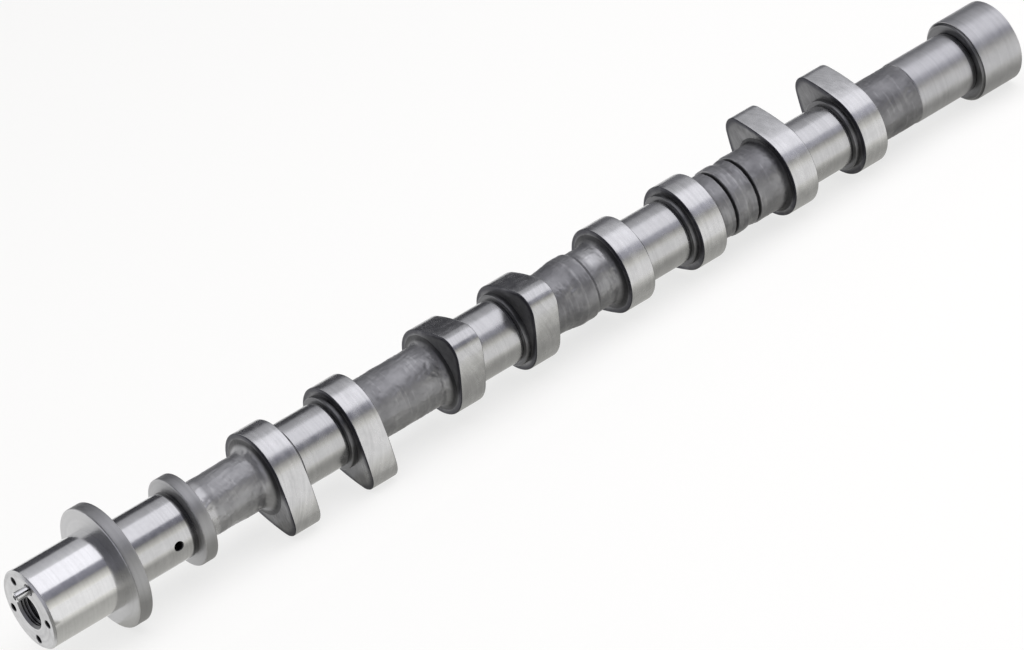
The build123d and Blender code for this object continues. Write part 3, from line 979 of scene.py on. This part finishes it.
# %% [markdown]
# ## Each piece gets its finish
# A disc has a rim and two faces that were cut with different tools, so it takes two finishes, and
# the direction of each face decides which. The pin is the only piece of the plain model that
# stays in view. It is a rolled spring pin, and gets the bright steel of one.

# %% Finishes on pieces
def dress(piece, rim, flats=None, limit=0.8):
    """First finish on rims, second on faces that look along the shaft more than the limit says."""
    piece.data.materials.clear()
    piece.data.materials.append(rim)
    if flats is not None:
        piece.data.materials.append(flats)
        normals = np.empty(len(piece.data.polygons) * 3)
        piece.data.polygons.foreach_get("normal", normals)
        across = np.abs(normals.reshape(-1, 3)[:, 0]) > limit
        piece.data.polygons.foreach_set("material_index", across.astype(np.int32))


dress(cast_sections, cast_skin)
dress(journals, fine_ground)
dress(rear_ground, satin_ground)
dress(journal_shoulders, shaded_turned)
dress(thrust_flange, turned_steel, thrust_face)
dress(collar, turned_steel, collar_face)
# The boss's front face takes the painted shade.
dress(boss_front_face, turned_steel, shaded_turned, limit=0.4)
dress(rear_end_face, rear_turned)
dress(nose_thread, bore_metal)
# Lobes 3 and 4 take the darker copy of the track.
for k, piece in enumerate(lobes):
    piece.data.materials[0] = darker_track if k in (2, 3) else cam_track
    piece.data.materials[1] = cam_side
for k, finish in enumerate([ground, end_face, bore_metal, front_journal]):
    front_end.data.materials[k] = finish
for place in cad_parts["dowel_pin"].material_slots:
    place.material = pin_steel
print("finishes", [m.name for m in bpy.data.materials if m.users])

# %% [markdown]
# ## What the metal mirrors
# Shiny round metal shows the room and not itself. A photographer sets one large soft box above,
# a pale table below, and dark cards where the metal should show its shape. Real lamps in those
# places would also light the table, so these are plain glowing cards that only reflections see.
# Long ones lie around the shaft at a distance, between two angles.

# %% Cards around the shaft
def glow_card(name, corners, colour, strength):
    """Card that only reflections see; its strength runs from its first edge to its last."""
    mesh = bpy.data.meshes.new(name)
    mesh.from_pydata(corners, [], [(0, 1, 2, 3)])
    card = bpy.data.objects.new(name, mesh)
    bpy.context.scene.collection.objects.link(card)
    mat = bpy.data.materials.new(name)
    mat.use_nodes = True
    tree = mat.node_tree
    tree.nodes.clear()
    edge = mesh.attributes.new("edge", "FLOAT", "POINT")
    edge.data.foreach_set("value", [0.0, 0.0, 1.0, 1.0])
    limits = {"Value": stored(tree, "edge"), "To Min": strength[0], "To Max": strength[1]}
    level = node(tree, "ShaderNodeMapRange", limits).outputs[0]
    glow = node(tree, "ShaderNodeEmission", {"Color": (*colour, 1), "Strength": level})
    node(tree, "ShaderNodeOutputMaterial", {"Surface": glow.outputs[0]})
    mesh.materials.append(mat)
    card.visible_camera = card.visible_diffuse = False
    card.visible_shadow = card.visible_transmission = False


def long_card(name, low, high, colour, strength, ends=(0.15, 2.05), reach=0.9):
    """Card along the shaft between two angles around it."""
    a, b = [(reach * math.cos(math.radians(t)), reach * math.sin(math.radians(t)))
            for t in (low, high)]
    corners = [(ends[0], *a), (ends[1], *a), (ends[1], *b), (ends[0], *b)]
    glow_card(name, corners, colour, strength)


LONG_CARDS = [
    ("back_card", -6, 37, (0.9, 0.9, 1.0), (0.07, 0.09), (0.15, 0.70)),
    ("back_card_rear", -6, 37, (0.93, 0.93, 1.0), (0.20, 0.27), (0.70, 2.05)),
    ("back_grey_card", 37, 76, (0.96, 0.96, 1.0), (0.43, 0.70)),
    ("soft_box_cloth", 76, 130, (0.955, 0.95, 1.0), (1.27, 1.27)),
    ("front_card", 130, 152, (0.85, 0.85, 1.0), (0.36, 0.22), (0.15, 0.62)),
    ("front_card_rear", 130, 152, (0.88, 0.88, 1.0), (0.64, 0.52), (0.62, 2.05)),
    ("front_wall", 152, 176, (1.0, 0.985, 0.93), (0.30, 1.0)),
]
for card in LONG_CARDS:
    long_card(*card)
print("long cards", [card[0] for card in LONG_CARDS])

# %% [markdown]
# ## The table
# A table is darker close to what lies on it. The floor's own shade is too soft to show in the
# metal's lower half as it does on a real shaft, so a few cards just above the floor hold that
# tone, with a sharp edge where the shade ends. The floor touches the flange and the rear boss,
# the two rims on which the real shaft lies.

# %% Table cards
SHADE_COLOUR, FLAG_COLOUR = (1.0, 0.99, 0.94), (0.9, 0.9, 1.0)
CARD_LIFT = 0.0004
TABLE_NOSE, TABLE_SHAFT, TABLE_FRONT = (-0.034, 0.055), (0.055, 0.55), (-1.3, -0.034)
slope = (FLANGE_R - BOSS_R) / (SHAFT_END - FLANGE_W)
print("floor slopes by %.1f mm per metre" % (slope / MM))


def floor_height(x):
    """Height of the floor at a station: a plane that touches the flange and the rear boss."""
    return MM * -FLANGE_R + slope * (x - MM * FLANGE_W)


def table_card(name, near_side, far_side, strength, ends=TABLE_SHAFT, lift=CARD_LIFT):
    """Card on the floor beside the shaft, between two distances at each of its ends."""
    a, b = [(x, floor_height(x) + lift) for x in ends]
    corners = [(a[0], near_side[0], a[1]), (b[0], near_side[1], b[1]),
               (b[0], far_side[1], b[1]), (a[0], far_side[0], a[1])]
    glow_card(name, corners, SHADE_COLOUR, strength)


TABLE_CARDS = [
    ("shade_edge_at_nose", (-0.054, -0.053), (-0.034, -0.032), (1.0, 0.44), TABLE_NOSE),
    ("shade_at_nose", (-0.034, -0.032), (0.001, 0.001), (0.44, 0.58), TABLE_NOSE),
    ("shade_edge", (-0.053, -0.033), (-0.032, -0.019), (0.98, 0.45)),
    ("shade_beside_shaft", (-0.032, -0.019), (-0.020, -0.014), (0.45, 0.43)),
    ("shade_under_shaft", (-0.020, -0.014), (0.001, 0.001), (0.45, 0.51)),
    ("nose_side_shade", (-0.045, -0.045), (-0.012, -0.012), (0.30, 0.30),
     TABLE_FRONT, 2 * CARD_LIFT),
    ("camera_side_shade", (-1.2, -1.2), (-0.045, -0.045), (0.30, 0.30),
     (-1.3, -0.016), 2 * CARD_LIFT),
]
for card in TABLE_CARDS:
    table_card(*card)
print("table cards", [card[0] for card in TABLE_CARDS])

# %% [markdown]
# ## Flags
# A flat face mirrors one place in the room, so it turns white or black as a whole. The faces of
# the flange and the collar look past the nose and past the camera. Three flags, darker than the
# room, stand there and overhead, so that these faces keep the tone of turned iron.

# %% Flags
LEFT, RIGHT_END, NEAR, FAR, LOW, HIGH = -1.3, 0.15, -1.2, 0.9, -0.1, 0.95
glow_card("camera_side_flag", [(LEFT, NEAR, LOW), (RIGHT_END, NEAR, LOW), (RIGHT_END, NEAR, HIGH),
                               (LEFT, NEAR, HIGH)], FLAG_COLOUR, (0.22, 0.22))
glow_card("nose_side_flag", [(LEFT, FAR, LOW), (LEFT, NEAR, LOW), (LEFT, NEAR, HIGH),
                             (LEFT, FAR, HIGH)], FLAG_COLOUR, (0.55, 0.75))
glow_card("overhead_flag", [(LEFT, NEAR, HIGH), (RIGHT_END, NEAR, HIGH), (RIGHT_END, FAR, HIGH),
                            (LEFT, FAR, HIGH)], FLAG_COLOUR, (0.16, 0.16))
print("flags reach up to", HIGH, "metres")

# %% [markdown]
# ## Lamp and floor
# One large area lamp gives the soft light and the shadow. It is hidden from reflections, because
# the cards stand for it there. The floor is pale, and rays that see it as background get a share
# of plain white, so that it looks white without more light on the metal.

# %% Lamp and floor
LAMP_LEVEL, LAMP_COLOUR, LAMP_PLACE = 1.7, (0.95, 0.94, 1.0), (0.70, -0.27, 1.2)
FLOOR_COLOUR, FLOOR_REACH, WHITE_SHARE = (0.93, 0.92, 0.87), 4.0, 0.72

lamp = bpy.data.lights.new("soft_box", "AREA")
lamp.shape, lamp.size, lamp.size_y = "RECTANGLE", 2.6, 1.6
lamp.energy = LAMP_LEVEL * math.pi * lamp.size * lamp.size_y
lamp.color = LAMP_COLOUR
soft_box = bpy.data.objects.new("soft_box", lamp)
soft_box.location = LAMP_PLACE
soft_box.visible_glossy = False
bpy.context.scene.collection.objects.link(soft_box)

far = FLOOR_REACH
floor_mesh = bpy.data.meshes.new("floor")
floor_mesh.from_pydata([(x, y, floor_height(x))
                        for x, y in [(-far, -far), (far, -far), (far, far), (-far, far)]],
                       [], [(0, 1, 2, 3)])
floor = bpy.data.objects.new("floor", floor_mesh)
bpy.context.scene.collection.objects.link(floor)


def background_rays(tree):
    """One for rays that see the background: from the camera, or mirrored or bent by the object."""
    rays = node(tree, "ShaderNodeLightPath").outputs
    seen = reckon(tree, "MAXIMUM", rays["Is Camera Ray"], rays["Is Glossy Ray"])
    return reckon(tree, "MAXIMUM", seen, rays["Is Transmission Ray"])


floor_finish, floor_tree, floor_shader = material("pale floor", FLOOR_COLOUR, 0.0, 0.7)
white_share = reckon(floor_tree, "MULTIPLY", background_rays(floor_tree), WHITE_SHARE)
white = node(floor_tree, "ShaderNodeEmission", {"Color": (1, 1, 1, 1), "Strength": 1.0})
floor_mix = node(floor_tree, "ShaderNodeMixShader",
                 {0: white_share, 1: floor_shader.outputs[0], 2: white.outputs[0]})
floor_tree.links.new(floor_mix.outputs[0],
                     floor_tree.nodes["Material Output"].inputs["Surface"])
floor_mesh.materials.append(floor_finish)
print("lamp", round(lamp.energy, 1), "watts")

# %% [markdown]
# ## World
# The walls of the studio are white. They are dimmer as a light than as a background, so that the
# room fills the shadows a little and still looks white behind the shaft.

# %% World
ROOM_LIGHT = 0.4
world = bpy.data.worlds.new("studio")
bpy.context.scene.world = world
world.use_nodes = True
room = world.node_tree
room_level = node(room, "ShaderNodeMapRange",
                  {"Value": background_rays(room), "To Min": ROOM_LIGHT, "To Max": 1.0})
background = room.nodes["Background"]
background.inputs["Color"].default_value = (1, 1, 1, 1)
room.links.new(room_level.outputs[0], background.inputs["Strength"])
print("world", world.name)

# %% [markdown]
# ## Camera
# The shaft is seen with a long lens from the nose side, a little from above, and with the camera
# rolled. Its line of sight meets the axis near the middle of the shaft. The view is given by the
# direction it looks along and the direction that is right in the picture.

# %% Camera
AIM = (0.2037, 0.0, -0.00015)
CAMERA_DISTANCE = 2.0914
FORWARD = np.array([0.4481, 0.77454, -0.44643])
RIGHT = np.array([0.76908, -0.58857, -0.24921])
LENS_MM, SENSOR_MM = 185.0, 36.0

up = np.cross(RIGHT, FORWARD)
eye = np.array(AIM) - FORWARD * CAMERA_DISTANCE
camera_turn = Matrix(np.stack([RIGHT, up, -FORWARD], 1).tolist()).to_4x4()
camera_data = bpy.data.cameras.new("camera")
camera_data.lens, camera_data.sensor_width = LENS_MM, SENSOR_MM
camera = bpy.data.objects.new("camera", camera_data)
camera.matrix_world = Matrix.Translation(Vector(eye)) @ camera_turn
bpy.context.scene.collection.objects.link(camera)
bpy.context.scene.camera = camera
bpy.context.scene.view_settings.view_transform = "Standard"
print("camera at", [round(float(v), 3) for v in eye])
